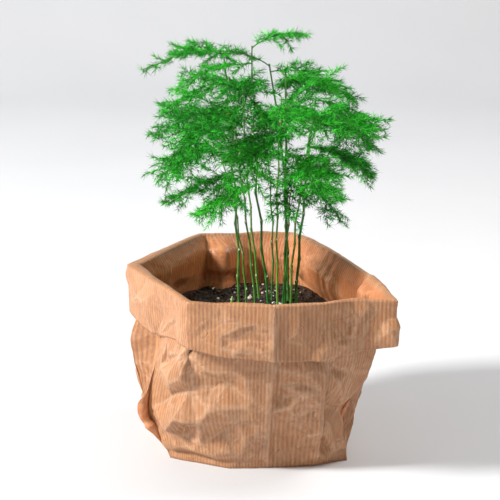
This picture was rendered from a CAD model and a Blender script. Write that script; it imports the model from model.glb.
"""Potted asparagus fern: the looks of each piece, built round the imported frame, in metres."""

import math
import random

import bpy
import numpy as np
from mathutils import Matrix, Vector, geometry, noise


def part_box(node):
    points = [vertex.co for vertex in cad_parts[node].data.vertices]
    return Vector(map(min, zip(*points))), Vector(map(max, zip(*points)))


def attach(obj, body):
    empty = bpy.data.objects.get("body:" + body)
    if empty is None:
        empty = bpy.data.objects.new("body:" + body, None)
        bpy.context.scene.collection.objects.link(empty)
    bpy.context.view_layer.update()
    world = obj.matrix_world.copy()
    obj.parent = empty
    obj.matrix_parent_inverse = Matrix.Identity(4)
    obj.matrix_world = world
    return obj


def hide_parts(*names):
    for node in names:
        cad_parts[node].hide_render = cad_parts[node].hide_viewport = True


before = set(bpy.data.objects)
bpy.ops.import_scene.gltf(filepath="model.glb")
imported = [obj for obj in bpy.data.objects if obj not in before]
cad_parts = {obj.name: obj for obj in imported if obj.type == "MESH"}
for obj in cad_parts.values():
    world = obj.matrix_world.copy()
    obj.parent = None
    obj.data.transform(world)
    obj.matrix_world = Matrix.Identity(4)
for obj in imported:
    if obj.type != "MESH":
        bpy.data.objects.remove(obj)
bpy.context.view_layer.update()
MM = 0.001


# ---- Paper bag -------------------------------------------------------------------------------------------
# One sheet of ribbed brown kraft paper, lapped and glued down the front into a tube, folded to a flat
# bottom with a gusset at either side, and crumpled by hand. Its top is turned outward into a deep cuff.

# Each row is a fold line from the flat bottom to the rim: (x, y) in mm at the foot, knee, waist, throat
# and rim, then the height of the cuff's lower edge. Rows run anticlockwise from the left-hand corner.
FOLDS = (
    ((-51, -4), (-61, -1), (-67, 3), (-59, 4), (-70, 3), 71),
    ((-51, -17), (-62, -13), (-69, -8), (-58, -11), (-62, -14), 68),
    ((-49, -24), (-58, -19), (-55, -15), (-52, -22), (-57, -23), 68),
    ((-48, -31), (-63, -27), (-55, -34), (-45, -37), (-50, -35), 70),
    ((-41, -35), (-50, -40), (-47, -45), (-39, -50), (-43, -49), 73),
    ((-31, -39), (-36, -47), (-38, -57), (-33, -61), (-35, -64), 73),
    ((-15, -46), (-15, -52), (-16, -61), (-15, -65), (-16, -68), 70),
    ((4, -45), (5, -53), (6, -62), (7, -68), (7, -71), 69),
    ((18, -44), (19, -51), (20, -61), (19, -66), (19, -69), 68),
    ((31, -42), (33, -50), (33, -60), (31, -64), (31, -67), 68),
    ((40, -38), (38, -42), (46, -55), (46, -58), (47, -61), 70),
    ((49, -34), (46, -38), (59, -51), (63, -56), (69, -62), 74),
    ((47, -27), (43, -28), (58, -42), (60, -46), (67, -48), 75),
    ((50, -18), (55, -21), (63, -31), (60, -34), (65, -36), 73),
    ((48, -3), (52, -5), (57, -8), (55, -13), (59, -14), 70),
    ((40, 19), (43, 20), (45, 21), (41, 21), (46, 22), 70),
    ((32, 38), (34, 43), (35, 47), (29, 46), (33, 50), 72),
    ((20, 45), (19, 52), (20, 59), (18, 61), (21, 67), 71),
    ((0, 46), (1, 54), (2, 60), (2, 64), (3, 69), 69),
    ((-14, 44), (-13, 50), (-13, 55), (-14, 59), (-15, 65), 70),
    ((-22, 43), (-22, 46), (-20, 48), (-20, 52), (-25, 64), 71),
    ((-30, 41), (-32, 47), (-32, 54), (-31, 57), (-34, 62), 72),
    ((-43, 23), (-48, 25), (-50, 28), (-46, 31), (-51, 34), 70),
    ((-50, 9), (-57, 11), (-60, 13), (-55, 14), (-61, 17), 69),
)
LEVELS = (0, 26, 60, 88, 98)
RIM = 98
BODY_INSET = 2.2
LIP, CORNER_LIP = 1.2, 3.6
LIP_DROP = 12
CUFF_INSET = 0.3
HALF_PAPER = 0.18
COLUMNS = 400
BASE_ROWS, BODY_ROWS, TURN_ROWS, CUFF_ROWS = 6, 72, 8, 30

# Crumpling: large and small facets as (how many, depth in mm, seed), then how they die away near the
# floor, the rim and the cuff, and how little room the body has under the cuff.
LARGE_FACETS = (240, 2.1, 5)
SMALL_FACETS = (1300, 0.6, 9)
PLACED_CLEAR = 5
PRESSED = 2.1
FLOOR_FADE = 8
RIM_FADE, RIM_SHARE = 12, 0.25
CUFF_SHARE = 0.85
DEEPEST_DENT = 2.8
TUCKED_ABOVE = 64
TUCKED_ROOM = 0.45
ROOM_PER_MM = 0.15
FULL_CREASE = 0.22

# The lap down the front: the fold row it lies on, its step in mm, how sharp the step is and how it fades.
LAP_ROW, LAP_STEP, LAP_SHARPNESS, LAP_FADE = 7.02, 0.8, 40, 1.5

# The creases that were pressed in by hand: (fold row, distance up the body, height of the dent) in mm.
# The lapped seam stands proud at row 7, a crisp edge runs up row 9, the lower corners are crushed, and
# small pleats run round the inside of the mouth.
BODY_CREASES = (
    *((7.05, up, 0.9) for up in range(8, 76, 10)),
    *((7.3 + 0.12 * math.sin(up / 7), up, -1.3) for up in range(8, 76, 9)),
    *((8.3, up, -0.2) for up in range(10, 70, 15)),
    *((9.0, up, 0.9) for up in range(2, 62, 8)),
    *((9.2, up, -0.7) for up in range(24, 70, 9)),
    (9.35, 20, -2.6), (9.6, 12, -2.8), (9.2, 6, 0.6), (9.9, 24, 1.6), (10.1, 8, 1.5), (9.7, 3, 0.9),
    (9.7, 36, -1.2), (10.2, 40, 1.2), (9.8, 54, 1.0), (9.5, 62, -1.2),
    (4.5, 30, 2.2), (5.6, 41, 2.2), (4.9, 22, -1.9), (5.3, 31, 1.7), (4.2, 40, -1.2), (5.1, 48, -1.6),
    (4.1, 22, 1.8), (4.4, 14, -1.4), (5.2, 15, 0.9), (5.8, 22, -0.8), (6.2, 32, 0.7),
    (5.3, 58, -1.8), (6.0, 53, -1.3), (4.6, 60, 1.6), (5.0, 68, -1.5), (5.6, 66, 1.6), (6.3, 64, 0.8),
    (4.2, 52, 1.7), (3.7, 60, -1.8), (3.9, 70, 1.7), (6.4, 12, 0.6), (6.6, 45, 0.6),
    (12.9, 82, 0.3), (13.7, 88, -1.8), (14.6, 80, 0.4), (15.6, 88, -1.7), (16.6, 80, 0.3), (17.5, 86, -1.4),
    (18.5, 80, 0.4), (19.2, 86, -2.0), (19.7, 78, 0.4), (20.3, 88, -2.6), (20.9, 78, 0.4), (21.4, 86, -2.4),
    (21.9, 78, 0.4), (22.4, 86, -1.8), (23.2, 80, 0.3), (0.6, 84, -1.6), (1.8, 80, 0.4), (2.8, 86, -1.2),
)
# The same for the cuff, measured down from the rim: dents beside the seam and at the right-hand corner.
CUFF_CREASES = (
    *((7.05, down, 0.7) for down in (6, 14, 22, 29)),
    *((7.25, down, -0.6) for down in (5, 13, 21, 29)),
    (6.3, 12, 0.8), (6.5, 17, -1.1), (6.7, 10, 0.7), (6.2, 20, -0.9), (5.9, 24, 1.0), (6.6, 25, 0.9),
    (5.7, 12, -0.5), (4.9, 14, 0.5), (9.3, 22, 0.9), (9.7, 16, -1.1), (10.1, 12, 1.3), (10.4, 20, -1.1),
    (9.9, 24, 1.1), (10.6, 9, -1.2), (10.3, 5, 0.9), (10.8, 18, 1.2), (9.2, 8, -0.5), (8.6, 24, -0.5),
)


def spline(a, b, c, d, t):
    """The smooth curve from b to c, a share t of the way."""
    return b + 0.5 * t * (c - a + t * (2 * a - 5 * b + 4 * c - d + t * (3 * (b - c) + d - a)))


def fold_points(level):
    """A level's outline at every column: nearly flat panels between crisp fold lines."""
    rows = np.array([row[level] for row in FOLDS], float)
    count = len(rows)
    place = np.arange(COLUMNS) * count / COLUMNS
    low = place.astype(int)
    share = (place - low)[:, None]
    a, b, c, d = (rows[(low + step) % count] for step in (-1, 0, 1, 2))
    return 0.65 * (b + (c - b) * share) + 0.35 * spline(a, b, c, d, share)


OUTLINES = [fold_points(level) for level in range(len(LEVELS))]
column_place = np.arange(COLUMNS) * len(FOLDS) / COLUMNS
HEM = np.interp(column_place, range(len(FOLDS) + 1), [row[5] for row in FOLDS] + [FOLDS[0][5]])


def outline_at(height):
    """The bag's outline at a height in mm, smooth from level to level."""
    top = len(LEVELS) - 1
    k = min(np.searchsorted(LEVELS, height, side="right") - 1, top - 1)
    k = max(k, 0)
    share = (height - LEVELS[k]) / (LEVELS[k + 1] - LEVELS[k])
    a, b, c, d = (OUTLINES[min(max(k + step, 0), top)] for step in (-1, 0, 1, 2))
    return spline(a, b, c, d, share)


def outward(outline):
    """Unit vectors that point out of an outline, square to it."""
    along = np.roll(outline, -2, axis=0) - np.roll(outline, 2, axis=0)
    out = np.stack([along[:, 1], -along[:, 0]], axis=1)
    return out / np.linalg.norm(out, axis=1, keepdims=True)


def hoop(outline, inset, height):
    """One row of the sheet: an outline moved inward, at a height (a number, or one for each column)."""
    moved = outline - outward(outline) * np.reshape(inset, (-1, 1))
    return np.column_stack([moved, np.broadcast_to(height, COLUMNS)])


def lip_width():
    """How much wider the roll is than the two sheets: broadest at the left-hand corner."""
    from_corner = np.minimum(column_place, len(FOLDS) - column_place)
    return LIP + CORNER_LIP * np.exp(-((from_corner / 2.4) ** 2))


def flap_bulge(height):
    """Where the bottom's glued flap shows at the front left: a lip above and a notch below it."""
    reach = np.exp(-(((column_place - 4.6) / 1.6) ** 2))
    lip = 1.8 * math.exp(-(((height - 8.5) / 2.6) ** 2))
    notch = 1.9 * math.exp(-(((height - 4.2) / 1.5) ** 2))
    return reach * (lip - notch)


def sheet_rows():
    """The middle of the sheet from the centre of the bottom, up the body, over the rim, down to the hem."""
    rows = []
    foot = outline_at(0)
    for share in np.linspace(0.12, 1, BASE_ROWS, endpoint=False):
        inner = hoop(foot, BODY_INSET, HALF_PAPER)
        inner[:, :2] *= share
        rows.append(inner)
    turn = (BODY_INSET - CUFF_INSET) / 2
    shoulder = RIM - turn - HALF_PAPER
    lip = lip_width()
    for height in np.linspace(HALF_PAPER, shoulder, BODY_ROWS, endpoint=False):
        swell = lip * max(0, 1 - (shoulder - height) / LIP_DROP) ** 2
        rows.append(hoop(outline_at(height), BODY_INSET + swell - flap_bulge(height), height))
    rim = outline_at(RIM)
    for angle in np.linspace(math.pi, 0, TURN_ROWS, endpoint=False):
        inset = CUFF_INSET + (turn + lip / 2) * (1 - math.cos(angle))
        rows.append(hoop(rim, inset, shoulder + turn * math.sin(angle)))
    for share in np.linspace(0, 1, CUFF_ROWS):
        rows.append(hoop(rim, CUFF_INSET + 0.5 * share, shoulder + (HEM - shoulder) * share))
    return np.array(rows)


def row_lengths(rows):
    """How far along the sheet each row lies from the middle of the bottom, in mm."""
    steps = np.linalg.norm(np.diff(rows, axis=0), axis=2).mean(axis=1)
    return np.concatenate([[0], np.cumsum(steps)])


def facets(across, along, width, count, depth, seed, placed=()):
    """Heights over the sheet of flat facets that meet in sharp creases, some of them at placed points."""
    dice = random.Random(seed)
    spots = [(dice.uniform(0, width), dice.uniform(along[0], along[-1])) for _ in range(count)]
    levels = [dice.gauss(0, depth) for _ in range(count)]
    if placed:
        near = [min(math.dist(spot, (x, y)) for x, y, _ in placed) for spot in spots]
        kept = [k for k in range(count) if near[k] > PLACED_CLEAR]
        spots = [spots[k] for k in kept] + [(x, y) for x, y, _ in placed]
        levels = [levels[k] for k in kept] + [level for _, _, level in placed]
        count = len(spots)
    corners = [Vector((x + shift, y)) for shift in (-width, 0, width) for x, y in spots]
    edge = 0.3 * width
    for y in (along[0] - 10, along[-1] + 10):
        corners += [Vector((x, y)) for x in np.linspace(-edge, width + edge, 30)]
    found = geometry.delaunay_2d_cdt(corners, [], [], 0, 1e-6)
    result = np.zeros((len(along), len(across)))
    for triangle in found[2]:
        ids = [found[3][k][0] for k in triangle]
        (ax, ay), (bx, by), (cx, cy) = (corners[k] for k in ids)
        za, zb, zc = (levels[k % count] if k < 3 * count else 0.0 for k in ids)
        columns = np.flatnonzero((across >= min(ax, bx, cx)) & (across <= max(ax, bx, cx)))
        lines = np.flatnonzero((along >= min(ay, by, cy)) & (along <= max(ay, by, cy)))
        area = (by - cy) * (ax - cx) + (cx - bx) * (ay - cy)
        if not len(columns) or not len(lines) or abs(area) < 1e-9:
            continue
        x, y = np.meshgrid(across[columns], along[lines])
        u = ((by - cy) * (x - cx) + (cx - bx) * (y - cy)) / area
        v = ((cy - ay) * (x - cx) + (ax - cx) * (y - cy)) / area
        inside = (u >= -1e-6) & (v >= -1e-6) & (u + v <= 1 + 1e-6)
        patch = result[np.ix_(lines, columns)]
        patch[inside] = (u * za + v * zb + (1 - u - v) * zc)[inside]
        result[np.ix_(lines, columns)] = patch
    return result


def surface_normals(rows):
    """Unit vectors square to the sheet, pointing to the side that is outside on the body."""
    around = np.roll(rows, -1, axis=1) - np.roll(rows, 1, axis=1)
    up = np.gradient(rows, axis=0)
    normals = np.cross(around, up)
    return normals / np.maximum(np.linalg.norm(normals, axis=2, keepdims=True), 1e-9)


def piece(name, vertices, faces, material, smooth=True):
    """A named mesh object from corners in metres and faces given as lists of corner numbers."""
    mesh = bpy.data.meshes.new(name)
    mesh.from_pydata([], [], [])
    faces = np.asarray(faces, np.int32)
    sides = faces.shape[1]
    mesh.vertices.add(len(vertices))
    mesh.vertices.foreach_set("co", np.asarray(vertices, np.float32).ravel())
    mesh.loops.add(faces.size)
    mesh.loops.foreach_set("vertex_index", faces.ravel())
    mesh.polygons.add(len(faces))
    mesh.polygons.foreach_set("loop_start", np.arange(0, faces.size, sides, dtype=np.int32))
    mesh.polygons.foreach_set("use_smooth", np.full(len(faces), smooth))
    mesh.update(calc_edges=True)
    mesh.validate()
    mesh.materials.append(material)
    made = bpy.data.objects.new(name, mesh)
    bpy.context.scene.collection.objects.link(made)
    return made


def measure(mesh, name, values):
    """Keeps one number for each corner of a mesh, for its material to read."""
    mesh.attributes.new(name, "FLOAT", "POINT").data.foreach_set("value", np.asarray(values, np.float32))


def map_faces(mesh, name, places):
    """A UV map from one (u, v) for each corner of each face."""
    layer = mesh.uv_layers.new(name=name)
    layer.data.foreach_set("uv", np.asarray(places, np.float32).ravel())


def graph(name):
    """A new material's node tree, with its shader and output joined."""
    material = bpy.data.materials.new(name)
    material.use_nodes = True
    tree = material.node_tree
    tree.nodes.clear()
    shader = tree.nodes.new("ShaderNodeBsdfPrincipled")
    output = tree.nodes.new("ShaderNodeOutputMaterial")
    tree.links.new(shader.outputs[0], output.inputs[0])
    return material, tree, shader


def add(tree, kind, settings=None, **inputs):
    """Adds a node. Settings are its properties, and inputs are values or the sockets that feed it."""
    made = tree.nodes.new("ShaderNode" + kind)
    for key, value in (settings or {}).items():
        setattr(made, key, value)
    for key, value in inputs.items():
        socket = made.inputs[int(key[1:])] if key[0] == "i" and key[1:].isdigit() else made.inputs[key]
        if isinstance(value, bpy.types.NodeSocket):
            tree.links.new(value, socket)
        else:
            socket.default_value = value
    return made


def ramp(tree, factor, stops):
    """A colour ramp node from (position, colour) stops."""
    made = add(tree, "ValToRGB", Fac=factor)
    elements = made.color_ramp.elements
    while len(elements) < len(stops):
        elements.new(0.5)
    for element, (position, colour) in zip(elements, stops):
        element.position = position
        element.color = (*colour, 1)
    return made.outputs[0]


def mix(tree, factor, first, second, blend="MIX"):
    """The colour between two colours, each a socket or an RGB triple."""
    first, second = (c if isinstance(c, bpy.types.NodeSocket) else (*c, 1) for c in (first, second))
    made = add(tree, "Mix", {"data_type": "RGBA", "blend_type": blend}, i0=factor, i6=first, i7=second)
    return made.outputs[2]


def kraft_paper():
    """Ribbed brown kraft: paler and darker ribs, fibres, blotches, and paler rubbed creases."""
    material, tree, shader = graph("kraft_paper")
    sheet = add(tree, "UVMap", {"uv_map": "sheet"}).outputs[0]
    ribs = add(
        tree, "TexWave", {"bands_direction": "X"}, Vector=sheet, Scale=157, Distortion=0.6, Detail=3, i4=1.5
    ).outputs[1]
    stretched = add(tree, "Mapping", Vector=sheet, Scale=(1, 0.18, 1)).outputs[0]
    fibres = add(tree, "TexNoise", Vector=stretched, Scale=900, Detail=5, Roughness=0.65).outputs[0]
    blotches = add(tree, "TexNoise", Vector=sheet, Scale=38, Detail=6, Roughness=0.6).outputs[0]
    specks = add(tree, "TexNoise", Vector=sheet, Scale=2600, Detail=2).outputs[0]
    rib_tone = ramp(tree, ribs, ((0.2, (0.38, 0.158, 0.062)), (0.8, (0.60, 0.290, 0.132))))
    fibre_tone = ramp(tree, fibres, ((0.3, (0.35, 0.148, 0.058)), (0.72, (0.70, 0.37, 0.185))))
    tone = mix(tree, 0.45, rib_tone, fibre_tone)
    blotch = ramp(tree, blotches, ((0.3, (0.80, 0.76, 0.72)), (0.7, (1.0, 1.0, 1.0))))
    tone = mix(tree, 1.0, tone, blotch, "MULTIPLY")
    speck = ramp(tree, specks, ((0.36, (0.80, 0.76, 0.72)), (0.5, (1.0, 1.0, 1.0))))
    tone = mix(tree, 0.6, tone, speck, "MULTIPLY")
    crease = add(tree, "Attribute", {"attribute_name": "crease"}).outputs["Fac"]
    rubbed = add(tree, "Math", {"operation": "MULTIPLY"}, i0=crease, i1=fibres).outputs[0]
    worn = add(tree, "Math", {"operation": "MULTIPLY"}, i0=rubbed, i1=0.5).outputs[0]
    tone = mix(tree, worn, tone, (0.78, 0.55, 0.38))
    inside = add(tree, "Attribute", {"attribute_name": "inside"}).outputs["Fac"]
    tone = mix(tree, inside, tone, mix(tree, 1.0, tone, (1.22, 0.96, 0.80), "MULTIPLY"))
    wrinkles = add(
        tree, "TexVoronoi", {"feature": "DISTANCE_TO_EDGE"}, Vector=mix(tree, 0.012, sheet, fibres), Scale=170
    ).outputs[0]
    wrinkle_step = add(tree, "MapRange", i0=wrinkles, i1=0.0, i2=0.06, i3=0.0, i4=1.0).outputs[0]
    tree.links.new(tone, shader.inputs["Base Color"])
    shine = add(tree, "MapRange", i0=fibres, i1=0.3, i2=0.7, i3=0.32, i4=0.52).outputs[0]
    tree.links.new(shine, shader.inputs["Roughness"])
    shader.inputs["Specular IOR Level"].default_value = 0.55
    bump = add(tree, "Bump", Strength=0.5, Distance=0.00015, Height=ribs)
    bump = add(tree, "Bump", Strength=0.3, Distance=0.00015, Height=fibres, Normal=bump.outputs[0])
    bump = add(tree, "Bump", Strength=0.5, Distance=0.0004, Height=wrinkle_step, Normal=bump.outputs[0])
    tree.links.new(bump.outputs[0], shader.inputs["Normal"])
    return material


def crumple(across, along, width):
    """How far each point of the sheet is pushed off its smooth shape, in mm."""

    def across_at(row):
        return np.interp(row, column_place, across)

    body_start = along[BASE_ROWS]
    rim_at = along[BASE_ROWS + BODY_ROWS + TURN_ROWS // 2]
    placed = [(across_at(row), body_start + up, PRESSED * level) for row, up, level in BODY_CREASES]
    placed += [(across_at(row), rim_at + down, -PRESSED * level) for row, down, level in CUFF_CREASES]
    rise = facets(across, along, width, *LARGE_FACETS, placed) + facets(across, along, width, *SMALL_FACETS)
    near_floor = np.clip((along - body_start) / FLOOR_FADE, 0, 1)
    near_rim = np.clip(np.abs(along - rim_at) / RIM_FADE, RIM_SHARE, 1)
    cuff = np.where(along > rim_at, CUFF_SHARE, 1.0)
    rise *= (near_floor * near_rim * cuff)[:, None]
    room = TUCKED_ROOM + ROOM_PER_MM * np.maximum(0, TUCKED_ABOVE - (along - body_start))
    rise = np.clip(rise, -DEEPEST_DENT, room[:, None])
    past_lap = column_place - LAP_ROW
    lap = LAP_STEP / (1 + np.exp(-past_lap * LAP_SHARPNESS)) * np.exp(-np.clip(past_lap, 0, 9) / LAP_FADE)
    return rise + lap[None, :] * near_floor[:, None] * np.where(along > rim_at, -1, 1)[:, None]


def sharpness(rise):
    """How strongly the sheet is creased at each corner, from 0 to 1."""
    bend = np.abs(rise - (np.roll(rise, 1, axis=1) + np.roll(rise, -1, axis=1)) / 2)
    bend[1:-1] += np.abs(rise[1:-1] - (rise[:-2] + rise[2:]) / 2)
    return np.clip(bend / FULL_CREASE, 0, 1).ravel()


def both_skins(rows, rise):
    """The outer and the inner skin of the crumpled sheet, in metres."""
    middle = rows + surface_normals(rows) * rise[:, :, None]
    middle[:, :, 2] = np.maximum(middle[:, :, 2], HALF_PAPER)
    normals = surface_normals(middle)
    outer = (middle + normals * HALF_PAPER).reshape(-1, 3)
    inner = (middle - normals * HALF_PAPER).reshape(-1, 3)
    outer[:, 2] = np.maximum(outer[:, 2], 0)
    return np.vstack([outer, inner]) * MM


def sheet_faces(across, along, width):
    """The faces of both skins and of the hem between them, with their places on the sheet and bake maps."""
    faces = []
    sheet_map = []
    bake_map = []
    count = len(along)
    layer = count * COLUMNS
    far = np.append(across, width)
    length = along[-1]

    def corner(side, line, column):
        faces[-1].append(side * layer + line * COLUMNS + column % COLUMNS)
        sheet_map.append((far[column] * MM, along[line] * MM))
        bake_map.append((far[column] / width, 0.5 * side + 0.49 * along[line] / length))

    for side in (0, 1):
        for line in range(count - 1):
            for column in range(COLUMNS):
                square = ((line, column), (line, column + 1), (line + 1, column + 1), (line + 1, column))
                faces.append([])
                for one_line, one_column in square if side == 0 else square[::-1]:
                    corner(side, one_line, one_column)
    for column in range(COLUMNS):
        faces.append([])
        last = count - 1
        for side, one_column in ((0, column), (0, column + 1), (1, column + 1), (1, column)):
            corner(side, last, one_column)
    return faces, sheet_map, bake_map


def paper_bag():
    rows = sheet_rows()
    along = row_lengths(rows)
    rim_outline = outline_at(RIM)
    sides = np.linalg.norm(np.roll(rim_outline, -1, axis=0) - rim_outline, axis=1)
    across = np.concatenate([[0], np.cumsum(sides)])
    width = across[-1]
    across = across[:-1]
    rise = crumple(across, along, width)
    faces, sheet_map, bake_map = sheet_faces(across, along, width)
    made = piece("kraft_bag", both_skins(rows, rise), faces, kraft_paper())
    map_faces(made.data, "sheet", sheet_map)
    map_faces(made.data, "OFBake", bake_map)
    crease = sharpness(rise)
    measure(made.data, "crease", np.tile(crease, 2))
    lining = np.zeros(len(crease))
    lining[: (BASE_ROWS + BODY_ROWS) * COLUMNS] = 1
    measure(made.data, "inside", np.concatenate([np.zeros(len(crease)), lining]))
    return made


bag = paper_bag()
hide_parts("paper_bag")
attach(bag, "root")


# ---- Potting soil ----------------------------------------------------------------------------------------
# Moist, dark, crumbly mix that fills the bag to a few centimetres below the rim: fine peat with crumbs of
# bark and loose specks of white perlite on top, heaped a little where the plant was set in.
SOIL_LEVEL = 71
SOIL_COLUMNS, SOIL_RINGS = 200, 56
CRUMBS = 1500
SPECKS = 110
HEAP, SETTLED = 1.6, 1.2
LUMP_HEIGHT, LUMP_SPAN = 1.1, 9
GRAIN_HEIGHT, GRAIN_SPAN = 0.55, 1.3


def soil_height(x, y, share):
    """The height of the soil at a point in mm, at a share of the way from the middle to the wall."""
    spot = Vector((x, y, 0))
    heap = HEAP * (1 - share)
    lumps = LUMP_HEIGHT * noise.fractal(spot / LUMP_SPAN, 0.9, 2.1, 4)
    grains = GRAIN_HEIGHT * noise.cell_vector(spot / GRAIN_SPAN).x
    return SOIL_LEVEL - SETTLED + heap + lumps + grains


def soil_rows():
    picks = np.arange(SOIL_COLUMNS) * COLUMNS // SOIL_COLUMNS
    rows = []
    for height, inset in ((2, 8), (26, 8), (60, 8), (66, 4.5)):
        rows.append(hoop(outline_at(height), inset, height)[picks])
    brim = hoop(outline_at(SOIL_LEVEL), 2.9, SOIL_LEVEL)[picks]
    for share in np.linspace(1, 0.01, SOIL_RINGS):
        ring = brim * (share, share, 1)
        ring[:, 2] = [soil_height(x, y, share) for x, y, _ in ring]
        rows.append(ring)
    return np.array(rows)


def icosahedron():
    """The twelve corners of a regular icosahedron and its twenty faces."""
    golden = (1 + math.sqrt(5)) / 2
    corners = [(0, a, b * golden) for a in (-1, 1) for b in (-1, 1)]
    corners += [(z, x, y) for x, y, z in corners] + [(y, z, x) for x, y, z in corners]
    corners = np.array(corners) / math.hypot(1, golden)
    longest_edge = 1.06
    faces = []
    for a in range(12):
        for b in range(a + 1, 12):
            for c in range(b + 1, 12):
                spans = (corners[a] - corners[b], corners[b] - corners[c], corners[c] - corners[a])
                if max(np.linalg.norm(span) for span in spans) < longest_edge:
                    facing = np.cross(corners[b] - corners[a], corners[c] - corners[a])
                    faces.append((a, c, b) if np.dot(facing, corners[a]) < 0 else (a, b, c))
    return corners, np.array(faces)


LUMP_CORNERS, LUMP_FACES = icosahedron()


def scatter_lumps(count, sizes, dice):
    """Small irregular lumps lying over the soil, as corners and faces."""
    brim = hoop(outline_at(SOIL_LEVEL), 4, SOIL_LEVEL)
    corners = []
    for _ in range(count):
        share = math.sqrt(dice.random()) * 0.97
        x, y, _ = brim[dice.randrange(COLUMNS)] * share
        size = dice.uniform(*sizes) ** 1.5
        stretch = np.array([dice.uniform(0.6, 1.5), dice.uniform(0.6, 1.2), dice.uniform(0.5, 1.0)])
        rough = np.array([dice.uniform(0.7, 1.25) for _ in range(12)])[:, None]
        turn = dice.uniform(0, 2 * math.pi)
        c, s = math.cos(turn), math.sin(turn)
        spin = np.array([[c, -s, 0], [s, c, 0], [0, 0, 1]])
        lump = (LUMP_CORNERS * rough * stretch * size) @ spin.T
        corners.append(lump + (x, y, soil_height(x, y, share) + size * 0.35))
    faces = np.concatenate([LUMP_FACES + 12 * k for k in range(count)])
    return np.concatenate(corners), faces


def triangle_cells(count, low=0.0, high=1.0):
    """A place on the bake map for each of many separate triangles, two to a square cell."""
    wide = math.ceil(math.sqrt(count / 2 / (high - low)))
    tall = math.ceil(count / 2 / wide)
    cell = np.arange(count) // 2
    left, bottom = cell % wide, cell // wide
    lower = [(0.08, 0.06), (0.86, 0.06), (0.08, 0.84)]
    upper = [(0.94, 0.92), (0.16, 0.92), (0.94, 0.14)]
    half = np.array([lower, upper])
    places = half[np.arange(count) % 2]
    u = (left[:, None] + places[:, :, 0]) / wide
    v = low + (high - low) * (bottom[:, None] + places[:, :, 1]) / tall
    return np.stack([u, v], axis=2).reshape(-1, 2)


def soil_mix():
    """Peat from near-black to dark brown, red-brown bark crumbs, and white specks of perlite."""
    material, tree, shader = graph("potting_mix")
    place = add(tree, "TexCoord").outputs["Object"]
    peat = add(tree, "TexNoise", Vector=place, Scale=700, Detail=4).outputs[0]
    patches = add(tree, "TexNoise", Vector=place, Scale=90, Detail=3).outputs[0]
    dark = ramp(tree, peat, ((0.35, (0.006, 0.004, 0.003)), (0.7, (0.035, 0.020, 0.012))))
    tone = mix(tree, patches, dark, (0.020, 0.011, 0.007))
    bark = add(tree, "Attribute", {"attribute_name": "bark"}).outputs["Fac"]
    tone = mix(tree, bark, tone, (0.11, 0.050, 0.022))
    white = add(tree, "Attribute", {"attribute_name": "white"}).outputs["Fac"]
    chalk = ramp(tree, peat, ((0.3, (0.55, 0.47, 0.42)), (0.6, (0.85, 0.80, 0.77))))
    tone = mix(tree, white, tone, chalk)
    tree.links.new(tone, shader.inputs["Base Color"])
    wet = add(tree, "MapRange", i0=patches, i1=0.4, i2=0.6, i3=0.45, i4=0.9).outputs[0]
    tree.links.new(wet, shader.inputs["Roughness"])
    bump = add(tree, "Bump", Strength=0.6, Distance=0.0004, Height=peat)
    tree.links.new(bump.outputs[0], shader.inputs["Normal"])
    return material


def potting_soil():
    rows = soil_rows()
    dice = random.Random(21)
    body = rows.reshape(-1, 3)
    centres = np.array([rows[0].mean(axis=0), rows[-1].mean(axis=0)])
    crumbs, crumb_faces = scatter_lumps(CRUMBS, (0.55, 1.25), dice)
    specks, speck_faces = scatter_lumps(SPECKS, (0.5, 1.0), dice)
    start = len(body) + 2
    triangles, places = [], []
    last = len(rows) - 1
    for line in range(last):
        for column in range(SOIL_COLUMNS):
            after = (column + 1) % SOIL_COLUMNS
            a, b = line * SOIL_COLUMNS + column, line * SOIL_COLUMNS + after
            c, d = b + SOIL_COLUMNS, a + SOIL_COLUMNS
            triangles += [(a, b, c), (a, c, d)]
            u, v = column / SOIL_COLUMNS, 0.48 * line / last
            right, top = u + 1 / SOIL_COLUMNS, v + 0.48 / last
            places += [(u, v), (right, v), (right, top), (u, v), (right, top), (u, top)]
    for centre, line in ((0, 0), (1, last)):
        for column in range(SOIL_COLUMNS):
            pair = [line * SOIL_COLUMNS + column, line * SOIL_COLUMNS + (column + 1) % SOIL_COLUMNS]
            pair = pair if centre else pair[::-1]
            triangles.append((*pair, len(body) + centre))
            u = column / SOIL_COLUMNS
            places += [(u, 0.481), (u + 0.9 / SOIL_COLUMNS, 0.481), (u, 0.489)]
    loose = np.concatenate([crumb_faces + start, speck_faces + start + len(crumbs)])
    places = np.concatenate([places, triangle_cells(len(loose), 0.5, 1.0)])
    corners = np.concatenate([body, centres, crumbs, specks]) * MM
    white = np.concatenate([np.zeros(start + len(crumbs)), np.ones(len(specks))])
    barks = np.repeat([dice.random() ** 3 for _ in range(CRUMBS)], 12)
    bark = np.concatenate([np.zeros(start), barks, np.zeros(len(specks))])
    made = piece("potting_mix", corners, np.concatenate([triangles, loose]), soil_mix(), smooth=False)
    map_faces(made.data, "OFBake", places)
    measure(made.data, "white", white)
    measure(made.data, "bark", bark)
    return made


soil = potting_soil()
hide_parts("potting_soil")
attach(soil, "root")


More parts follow.
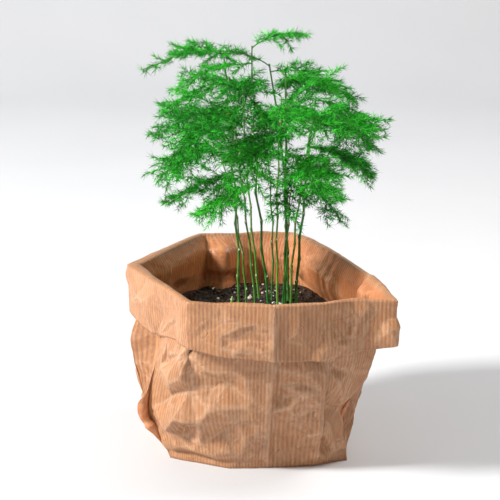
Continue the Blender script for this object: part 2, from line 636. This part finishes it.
# ---- Perlite ---------------------------------------------------------------------------------------------
# The larger lumps of expanded volcanic glass: white, pitted and light, lying loose on the soil.
def perlite_white():
    material, tree, shader = graph("perlite_white")
    place = add(tree, "TexCoord").outputs["Object"]
    pits = add(tree, "TexVoronoi", Vector=place, Scale=1500).outputs[0]
    stain = add(tree, "TexNoise", Vector=place, Scale=500, Detail=3).outputs[0]
    tone = ramp(tree, stain, ((0.35, (0.62, 0.50, 0.43)), (0.6, (0.88, 0.84, 0.81))))
    tone = mix(tree, 1.0, tone, ramp(tree, pits, ((0.1, (0.7, 0.66, 0.62)), (0.4, (1, 1, 1)))), "MULTIPLY")
    tree.links.new(tone, shader.inputs["Base Color"])
    rough = add(tree, "MapRange", i0=stain, i1=0.3, i2=0.7, i3=0.8, i4=0.95).outputs[0]
    tree.links.new(rough, shader.inputs["Roughness"])
    bump = add(tree, "Bump", Strength=0.7, Distance=0.0003, Height=pits)
    tree.links.new(bump.outputs[0], shader.inputs["Normal"])
    return material


def finer(corners, faces):
    """Each triangle of a lump split in four, with its corners pushed out to the sphere."""
    corners = [tuple(corner) for corner in corners]
    middles = {}

    def middle(a, b):
        key = (min(a, b), max(a, b))
        if key not in middles:
            point = np.array(corners[a]) + np.array(corners[b])
            middles[key] = len(corners)
            corners.append(tuple(point / np.linalg.norm(point)))
        return middles[key]

    split = []
    for a, b, c in faces:
        ab, bc, ca = middle(a, b), middle(b, c), middle(c, a)
        split += [(a, ab, ca), (ab, b, bc), (ca, bc, c), (ab, bc, ca)]
    return np.array(corners), np.array(split)


PERLITE_LUMPS = 6
SUNK = 0.4
perlite = perlite_white()
lump_corners, lump_faces = finer(*finer(LUMP_CORNERS, LUMP_FACES))
for number in range(1, PERLITE_LUMPS + 1):
    node = f"perlite_{number}"
    low, high = (np.array(corner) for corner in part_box(node))
    away = Vector((7 * number, 0, 0))
    dents = np.array([0.9 + 0.3 * noise.noise(Vector(corner) * 2.2 + away) for corner in lump_corners])
    shaped = lump_corners * dents[:, None] * (high - low) / 2 + (low + high) / 2
    lump = piece(f"perlite_lump_{number}", shaped - (0, 0, SUNK * MM), lump_faces, perlite)
    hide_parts(node)
    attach(lump, "root")


# ---- Stems -----------------------------------------------------------------------------------------------
# Twelve thin, wiry stems, each up out of the soil on its own. They lean, bow and zigzag from joint to
# joint, taper upward, and carry a papery scale at each joint. Some are dark, some young and yellow-green.

# Foot (x, y), top (x, y, z), bow, zigzag and radius in mm, then how young the stem is from 0 to 1.
STEMS = (
    ((-10, 14), (-18, 20, 208), 0, 0.9, 0.9, 0.35),
    ((-1, 5), (-13, -12, 184), -2, 0.5, 0.8, 0.4),
    ((1, 24), (-8, 36, 188), -3, 0.5, 0.8, 0.6),
    ((6, 13), (-3, 8, 213), -4, 1.0, 0.9, 0.15),
    ((11, 5), (12, -14, 190), -1, 0.4, 0.8, 0.95),
    ((14, 14), (6, 12, 203), 3, 0.4, 1.1, 0.1),
    ((17, 20), (15, 32, 198), -1, 0.4, 1.1, 0.3),
    ((18, 9), (29, -4, 180), 0, 0.5, 0.8, 0.7),
    ((21, 16), (31, 22, 184), 1, 0.6, 1.0, 0.2),
    ((-6, 8), (-21, -3, 164), 0, 0.6, 0.7, 0.5),
    ((8, 21), (4, 41, 168), 1, 0.5, 0.7, 0.3),
    ((15, 7), (18, -22, 161), 0, 0.5, 0.7, 0.5),
)
STEM_JOINTS = 9
LEAN_CURVE = 1.8
STEM_SIDES = 10
STEPS_PER_JOINT = 7


def stem_corner(stem, index, joint):
    """The middle of a stem at one of its joints, in mm."""
    foot, top, bow, zigzag = stem[:4]
    share = joint / STEM_JOINTS
    side = 1 if index % 2 == 0 else -1
    swing = side * zigzag * math.cos(math.pi * joint) * math.sin(math.pi * share)
    lean = share**LEAN_CURVE
    x = foot[0] + (top[0] - foot[0]) * lean + bow * math.sin(math.pi * share) + swing
    y = foot[1] + (top[1] - foot[1]) * lean + swing * 0.5
    return np.array([x, y, SOIL_LEVEL + (top[2] - SOIL_LEVEL) * share])


def stem_middle(stem, index, place):
    """The middle of a stem at a place along it, counted in joints."""
    low = min(int(place), STEM_JOINTS - 1)
    below, above = stem_corner(stem, index, low), stem_corner(stem, index, low + 1)
    return below + (above - below) * (place - low)


def tube(points, radii, sides):
    """Corners and four-sided faces of a round skin along points."""
    points = np.asarray(points, float)
    along = np.gradient(points, axis=0)
    along /= np.linalg.norm(along, axis=1, keepdims=True)
    guide = np.array([0.0, 0.0, 1.0]) if abs(along[0][2]) < 0.8 else np.array([1.0, 0.0, 0.0])
    u = np.cross(guide, along)
    u /= np.linalg.norm(u, axis=1, keepdims=True)
    v = np.cross(along, u)
    turn = np.arange(sides) * 2 * math.pi / sides
    spokes = u[:, None] * np.cos(turn)[None, :, None] + v[:, None] * np.sin(turn)[None, :, None]
    corners = (points[:, None] + spokes * np.asarray(radii)[:, None, None]).reshape(-1, 3)
    lines, around = np.meshgrid(np.arange(len(points) - 1), np.arange(sides), indexing="ij")
    a = (lines * sides + around).ravel()
    b = (lines * sides + (around + 1) % sides).ravel()
    return corners, np.stack([a, b, b + sides, a + sides], axis=1)


def stem_skin():
    """Glossy green bark with fine lengthwise streaks, paler towards young tips, and papery joint scales."""
    material, tree, shader = graph("fern_stem")
    place = add(tree, "TexCoord").outputs["Object"]
    drawn = add(tree, "Mapping", Vector=place, Scale=(1, 1, 0.12)).outputs[0]
    streaks = add(tree, "TexNoise", Vector=drawn, Scale=1900, Detail=4).outputs[0]
    patches = add(tree, "TexNoise", Vector=place, Scale=120, Detail=3).outputs[0]
    young = add(tree, "Attribute", {"attribute_name": "young"}).outputs["Fac"]
    mature = ramp(tree, streaks, ((0.3, (0.006, 0.085, 0.018)), (0.7, (0.035, 0.27, 0.045))))
    fresh = ramp(tree, streaks, ((0.3, (0.10, 0.30, 0.03)), (0.7, (0.30, 0.58, 0.09))))
    tone = mix(tree, young, mature, fresh)
    brown = ramp(tree, patches, ((0.58, (1, 1, 1)), (0.75, (0.75, 0.55, 0.38))))
    tone = mix(tree, 1.0, tone, brown, "MULTIPLY")
    scale = add(tree, "Attribute", {"attribute_name": "scale"}).outputs["Fac"]
    tone = mix(tree, scale, tone, (0.85, 0.82, 0.68))
    tree.links.new(tone, shader.inputs["Base Color"])
    gloss = add(tree, "MapRange", i0=streaks, i1=0.3, i2=0.7, i3=0.28, i4=0.45).outputs[0]
    tree.links.new(gloss, shader.inputs["Roughness"])
    shader.inputs["Specular IOR Level"].default_value = 0.6
    bump = add(tree, "Bump", Strength=0.4, Distance=0.0001, Height=streaks)
    tree.links.new(bump.outputs[0], shader.inputs["Normal"])
    return material


def grow_stem(stem, index):
    """One stem's corners, faces, and how far each corner is a papery scale."""
    places = np.linspace(0, STEM_JOINTS, STEM_JOINTS * STEPS_PER_JOINT + 1)
    points = [stem_middle(stem, index, place) for place in places]
    shares = places / STEM_JOINTS
    swell = 1 + 0.35 * np.exp(-((places - np.round(places)) / 0.06) ** 2)
    radii = stem[4] * (1 - 0.55 * shares) * swell * 0.85
    points.insert(0, points[0] - (0, 0, 6))
    radii = np.insert(radii, 0, radii[0])
    points.append(points[-1] + (0, 0, 0.4))
    radii = np.append(radii, 0.02)
    corners, faces = tube(points, radii, STEM_SIDES)
    scales = []
    for joint in range(1, STEM_JOINTS):
        middle = stem_corner(stem, index, joint)
        turn = 2.4 * joint + index
        out = np.array([math.cos(turn), math.sin(turn), 0])
        side = np.array([-out[1], out[0], 0])
        wide = stem[4] * 0.8
        root = middle + out * wide * 0.7
        tip = root + out * 0.7 + np.array([0, 0, 1.9])
        scales += [root - side * wide, root + side * wide, tip, root + out * 0.35]
    start = len(corners)
    flakes = []
    for k in range(0, len(scales), 4):
        a, b, c, d = (start + k + step for step in range(4))
        flakes += [(a, d, c, c), (d, b, c, c), (b, a, c, c), (a, b, d, d)]
    papery = np.concatenate([np.zeros(start), np.ones(len(scales))])
    return np.concatenate([corners, scales]), faces, flakes, papery


def triangles_of(quads):
    """Each four-sided face as two triangles."""
    quads = np.asarray(quads)
    return np.concatenate([quads[:, [0, 1, 2]], quads[:, [0, 2, 3]]])


stem_material = stem_skin()
for index, stem in enumerate(STEMS):
    corners, quads, flakes, papery = grow_stem(stem, index)
    sheets = np.concatenate([triangles_of(quads), np.asarray(flakes)[:, :3]])
    wire = piece(f"fern_stem_{index + 1:02d}", corners * MM, sheets, stem_material)
    measure(wire.data, "scale", papery)
    height = (corners[:, 2] - SOIL_LEVEL) / (stem[1][2] - SOIL_LEVEL)
    measure(wire.data, "young", np.clip(stem[5] + 0.25 * (height - 0.5), 0, 1))
    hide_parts(f"stem_{index + 1:02d}")
    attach(wire, "root")


# ---- Young shoot -----------------------------------------------------------------------------------------
# A new stem just up out of the soil: a short, blunt, yellow-green spear wrapped in overlapping scales.
def young_shoot():
    low, high = (np.array(corner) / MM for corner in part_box("young_shoot"))
    x, y = (low[:2] + high[:2]) / 2
    rise = np.linspace(0, 1, 26)
    points = [(x + 0.4 * t * t, y, low[2] + (high[2] - low[2]) * t) for t in rise]
    wraps = 1 + 0.16 * np.abs(np.sin(rise * 7 * math.pi))
    radii = 0.85 * np.sqrt(np.clip(1 - rise**3, 0.0005, 1)) * wraps
    corners, quads = tube(points, radii, 14)
    shoot = piece("fern_shoot", corners * MM, triangles_of(quads), stem_material)
    measure(shoot.data, "young", np.full(len(corners), 0.9))
    measure(shoot.data, "scale", np.repeat(0.3 * (rise > 0.8), 14))
    return shoot


shoot = young_shoot()
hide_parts("young_shoot")
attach(shoot, "root")


# ---- Leafy sprays ----------------------------------------------------------------------------------------
# Thirty-six side branches in flat layers. Each has a thread-like axis that arches over, branchlets that
# alternate left and right, smaller twigs off those, and tufts of soft needle leaves all along them.

# Stem, height, direction in degrees, length, rise and droop in degrees, and longest branchlet, in mm.
SPRAYS = (
    (1, 206, 160, 28, 34, 56, 15),
    (1, 192, 178, 38, 10, 60, 20),
    (1, 180, 192, 42, 0, 34, 21),
    (1, 166, 122, 42, 14, 50, 24),
    (1, 157, 166, 38, 4, 36, 20),
    (2, 182, 235, 46, 20, 54, 25),
    (2, 164, 284, 42, 14, 48, 24),
    (2, 150, 200, 42, -2, 30, 18),
    (3, 186, 105, 40, 22, 56, 24),
    (3, 172, 130, 44, 10, 44, 24),
    (3, 156, 95, 38, 6, 42, 22),
    (4, 212, 8, 30, 48, 56, 13),
    (4, 204, 186, 40, 4, 30, 16),
    (4, 192, 262, 44, 16, 50, 24),
    (4, 138, 196, 36, -6, 28, 16),
    (5, 189, 300, 46, 20, 54, 25),
    (5, 174, 248, 42, 10, 46, 23),
    (5, 161, 318, 38, 6, 44, 21),
    (6, 202, 181, 70, 44, 74, 10),
    (6, 199, 348, 26, 20, 34, 12),
    (7, 192, 344, 41, 16, 46, 18),
    (7, 190, 62, 44, 18, 54, 24),
    (7, 174, 92, 42, 12, 48, 23),
    (8, 179, 334, 38, 18, 52, 21),
    (8, 162, 356, 38, 4, 44, 20),
    (8, 153, 290, 34, 6, 44, 19),
    (9, 182, 358, 40, 14, 84, 19),
    (9, 170, 40, 44, 12, 54, 24),
    (9, 157, 12, 36, 2, 42, 18),
    (9, 138, 334, 28, -20, 34, 15),
    (10, 162, 222, 40, 14, 46, 22),
    (10, 147, 266, 36, 4, 40, 19),
    (11, 166, 70, 42, 12, 46, 23),
    (11, 152, 125, 40, 6, 40, 20),
    (12, 159, 290, 36, 12, 46, 21),
    (12, 148, 262, 34, 4, 40, 18),
)
AXIS_STEPS = 20
ARCH_CURVE = 0.6
AXIS_RADIUS, BRANCHLET_RADIUS, TWIG_RADIUS = 0.38, 0.2, 0.13
TWIG_SAG = 0.08
BRANCHLET_GAP = 2.4
TWIG_GAP = 2.3
TUFT_GAP = 1.8
NEEDLES_IN_TUFT = 5
NEEDLE_LENGTH = (3.4, 5.8)
NEEDLE_WIDTH = 0.17
SHADE_SPREAD = 0.32
# How yellow the growing tips are, repeated from spray to spray.
SPRAY_YOUTH = (0.2, 0.5, 0.3, 0.9, 0.4)


def spray_axis(spray):
    """Points along a spray's axis: it leaves its stem, rises, and turns steadily down to its tip."""
    number, height, way, long, rise, droop, _ = spray
    stem = STEMS[number - 1]
    place = (height - SOIL_LEVEL) / (stem[1][2] - SOIL_LEVEL) * STEM_JOINTS
    heading = math.radians(way)
    flat = np.array([math.cos(heading), math.sin(heading), 0])
    points = [stem_middle(stem, number - 1, place)]
    for step in range(AXIS_STEPS):
        pitch = math.radians(rise - droop * ((step + 0.5) / AXIS_STEPS) ** ARCH_CURVE)
        stride = flat * math.cos(pitch) + np.array([0, 0, math.sin(pitch)])
        points.append(points[-1] + stride * long / AXIS_STEPS)
    return np.array(points)


def unit(vector):
    return vector / np.linalg.norm(vector)


def twig_line(root, heading, fall, length, steps):
    """Points along a twig that sets off one way and sags a little towards its tip."""
    shares = np.linspace(0, 1, steps + 1)[:, None]
    return root + heading * length * shares + np.array([0, 0, -1.0]) * fall * length * shares**2


def at_share(points, share):
    """The point and the heading a share of the way along a line of points."""
    place = min(share * (len(points) - 1), len(points) - 1.001)
    low = int(place)
    step = points[low + 1] - points[low]
    return points[low] + step * (place - low), unit(step)


def grow_twigs(spray, dice):
    """Every twig of a spray as (points, radius at the root, how near its tips are to new growth)."""
    axis = spray_axis(spray)
    long, wide = spray[3], spray[6]
    twigs = [(axis, AXIS_RADIUS, 0.2)]
    hand = 1
    reach = 0.06 * long + 1.5
    while reach < long:
        share = reach / long
        root, heading = at_share(axis, share)
        side = unit(np.array([-heading[1], heading[0], 0.0]))
        lift = np.array([0, 0, 1.0])
        angle = math.radians(dice.uniform(42, 60))
        tilt = dice.gauss(0.08, 0.4)
        out = unit(heading * math.cos(angle) + side * hand * math.sin(angle) + lift * tilt)
        length = wide * math.sin(math.pi * (0.16 + 0.76 * share)) * dice.uniform(0.7, 1.12)
        branchlet = twig_line(root, out, dice.uniform(0.02, 0.2), length, 5)
        twigs.append((branchlet, BRANCHLET_RADIUS, share))
        small_hand = 1
        along = 1.6
        while along < length - 1:
            spot, way = at_share(branchlet, along / length)
            across = unit(np.cross(lift, way))
            turn = math.radians(dice.uniform(38, 62))
            sideways = across * small_hand * math.sin(turn)
            off = unit(way * math.cos(turn) + sideways + lift * dice.gauss(0, 0.4))
            span = (1.6 + 0.36 * (length - along)) * dice.uniform(0.6, 1.1)
            twigs.append((twig_line(spot, off, TWIG_SAG, span, 3), TWIG_RADIUS, share))
            small_hand = -small_hand
            along += TWIG_GAP * dice.uniform(0.8, 1.25)
        hand = -hand
        reach += BRANCHLET_GAP * dice.uniform(0.8, 1.2)
    return twigs


def needle_seats(twigs, dice):
    """The root, heading, length and youth of every needle leaf, in tufts along the twigs."""
    seats = []
    for number, (points, _, share) in enumerate(twigs):
        length = np.linalg.norm(np.diff(points, axis=0), axis=1).sum()
        along = 0.5 if number else 0.12 * length
        while along <= length:
            spot, way = at_share(points, along / length)
            across = unit(np.cross((0, 0, 1), way))
            up = np.cross(way, across)
            end = along / length
            for _ in range(NEEDLES_IN_TUFT):
                turn = dice.uniform(0, 2 * math.pi)
                splay = math.radians(dice.uniform(28, 68) * (1 - 0.35 * end * end))
                round_it = across * math.cos(turn) + up * math.sin(turn) * 0.85
                heading = unit(way * math.cos(splay) + round_it * math.sin(splay))
                reach = dice.uniform(*NEEDLE_LENGTH) * (1 - 0.25 * end)
                seats.append((*spot, *heading, reach, share * end))
            along += TUFT_GAP * dice.uniform(0.85, 1.15)
    return np.array(seats)


def needles(seats):
    """Four-faced spikes on the seats, as corners and triangles."""
    root, heading, reach = seats[:, :3], seats[:, 3:6], seats[:, 6:7]
    guide = np.where(np.abs(heading[:, 2:3]) < 0.8, (0.0, 0.0, 1.0), (1.0, 0.0, 0.0))
    u = np.cross(guide, heading)
    u /= np.linalg.norm(u, axis=1, keepdims=True)
    v = np.cross(heading, u)
    ring = []
    for k in range(3):
        turn = 2 * math.pi * k / 3
        ring.append(root + NEEDLE_WIDTH * (u * math.cos(turn) + v * math.sin(turn)))
    corners = np.stack([*ring, root + heading * reach], axis=1).reshape(-1, 3)
    shape = np.array([(0, 1, 3), (1, 2, 3), (2, 0, 3), (0, 2, 1)])
    faces = (np.arange(len(seats)) * 4)[:, None, None] + shape[None]
    return corners, faces.reshape(-1, 3)


def fern_green():
    """Fresh, strong green that differs from needle to needle, and yellower at the growing tips."""
    material, tree, shader = graph("fern_leaf")
    place = add(tree, "TexCoord").outputs["Object"]
    patches = add(tree, "TexNoise", Vector=place, Scale=70, Detail=2).outputs[0]
    fine = add(tree, "TexNoise", Vector=place, Scale=1500, Detail=2).outputs[0]
    shade = add(tree, "Attribute", {"attribute_name": "shade"}).outputs["Fac"]
    tone = ramp(
        tree, shade, ((0.0, (0.0005, 0.055, 0.004)), (0.45, (0.001, 0.33, 0.010)), (1.0, (0.10, 0.86, 0.06)))
    )
    patch = ramp(tree, patches, ((0.35, (0.72, 0.80, 0.8)), (0.62, (1.0, 1.0, 1.0))))
    tone = mix(tree, 1.0, tone, patch, "MULTIPLY")
    young = add(tree, "Attribute", {"attribute_name": "young"}).outputs["Fac"]
    tone = mix(tree, young, tone, (0.24, 0.60, 0.035))
    tree.links.new(tone, shader.inputs["Base Color"])
    gloss = add(tree, "MapRange", i0=fine, i1=0.3, i2=0.7, i3=0.4, i4=0.6).outputs[0]
    tree.links.new(gloss, shader.inputs["Roughness"])
    shader.inputs["Specular IOR Level"].default_value = 0.2
    bump = add(tree, "Bump", Strength=0.2, Distance=0.00005, Height=fine)
    tree.links.new(bump.outputs[0], shader.inputs["Normal"])
    return material


def grow_spray(spray, index):
    dice = random.Random(100 + index)
    twigs = grow_twigs(spray, dice)
    corners, faces, youth = [], [], []
    count = 0
    for points, radius, share in twigs:
        radii = radius * np.linspace(1, 0.45, len(points))
        skin, quads = tube(points, radii, 3)
        corners.append(skin)
        faces.append(triangles_of(quads) + count)
        youth.append(np.full(len(skin), 0.1 + 0.2 * share))
        count += len(skin)
    seats = needle_seats(twigs, dice)
    spikes, sides = needles(seats)
    corners.append(spikes)
    faces.append(sides + count)
    fresh = np.clip((seats[:, 7] - 0.62) * 1.6, 0, 1) * SPRAY_YOUTH[index % len(SPRAY_YOUTH)]
    youth.append(np.repeat(fresh, 4))
    corners = np.concatenate(corners)
    faces = np.concatenate(faces)
    spray_shade = 0.5 + 0.18 * math.sin(index * 2.3)
    shade = [spray_shade + dice.gauss(0, SHADE_SPREAD) for _ in range(len(seats))]
    shade = np.concatenate([np.full(count, spray_shade - 0.1), np.repeat(shade, 4)])
    made = piece(f"fern_spray_{index + 1:02d}", corners * MM, faces, leaf_material, smooth=False)
    map_faces(made.data, "OFBake", triangle_cells(len(faces)))
    measure(made.data, "shade", np.clip(shade, 0, 1))
    measure(made.data, "young", np.concatenate(youth))
    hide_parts(f"spray_{index + 1:02d}")
    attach(made, "root")


leaf_material = fern_green()
for index, spray in enumerate(SPRAYS):
    grow_spray(spray, index)


# ---- Floor, backdrop, light and camera -------------------------------------------------------------------
# A plain pale sweep of matt board, curved up at the back. The main lamp is high on the left, with a weak
# one in front, one at the top right that lights the inside of the bag, and one that washes the backdrop.
def backdrop():
    material, tree, shader = graph("studio_sweep")
    position = add(tree, "TexCoord").outputs["Object"]
    cloud = add(tree, "TexNoise", Vector=position, Scale=3, Detail=3).outputs[0]
    tone = ramp(tree, cloud, ((0.3, (0.66, 0.68, 0.71)), (0.7, (0.70, 0.72, 0.75))))
    tree.links.new(tone, shader.inputs["Base Color"])
    shader.inputs["Roughness"].default_value = 0.8
    half_width, back, corner, height = 4.0, 1.6, 0.6, 3.0
    profile = [(-3.0, 0.0), (back - corner, 0.0)]
    for step in range(1, 13):
        angle = math.pi / 2 * step / 12
        profile.append((back - corner + corner * math.sin(angle), corner - corner * math.cos(angle)))
    profile.append((back, height))
    corners = [(x, y, z) for y, z in profile for x in (-half_width, half_width)]
    quads = [(2 * k, 2 * k + 1, 2 * k + 3, 2 * k + 2) for k in range(len(profile) - 1)]
    return piece("studio_sweep", corners, quads, material)


backdrop()


def lamp(name, place, target, size, power, colour):
    """A square soft lamp at a place, turned to face a target."""
    light = bpy.data.lights.new(name, "AREA")
    light.energy = power
    light.size = size
    light.color = colour
    made = bpy.data.objects.new(name, light)
    made.location = place
    aim = Vector(target) - Vector(place)
    made.rotation_euler = aim.to_track_quat("-Z", "Y").to_euler()
    bpy.context.scene.collection.objects.link(made)


lamp("key", (-1.3, -0.35, 0.9), (0, 0, 0.08), 0.25, 42, (1.0, 0.985, 0.96))
lamp("fill", (0.7, -1.5, 0.8), (0, 0, 0.1), 1.2, 1.0, (1.0, 0.98, 0.96))
lamp("top_light", (0.8, 0.2, 1.1), (0, 0, 0.08), 0.5, 8, (1.0, 0.96, 0.92))
lamp("sweep_wash", (0, 0.7, 2.2), (0, 1.5, 0.4), 1.6, 7, (0.97, 0.98, 1.0))

world = bpy.data.worlds.new("studio")
world.use_nodes = True
world.node_tree.nodes["Background"].inputs[0].default_value = (1.0, 0.92, 0.85, 1)
world.node_tree.nodes["Background"].inputs[1].default_value = 0.30
bpy.context.scene.world = world
bpy.context.scene.view_settings.view_transform = "Standard"

ELEVATION = math.radians(16)
DISTANCE = 0.8
AIM = Vector((-0.004, 0, 0.106))
camera = bpy.data.objects.new("camera", bpy.data.cameras.new("camera"))
camera.data.lens = 108.7
camera.data.sensor_width = 36
camera.location = AIM + DISTANCE * Vector((0, -math.cos(ELEVATION), math.sin(ELEVATION)))
camera.rotation_euler = (math.pi / 2 - ELEVATION, 0, 0)
bpy.context.scene.collection.objects.link(camera)
bpy.context.scene.camera = camera
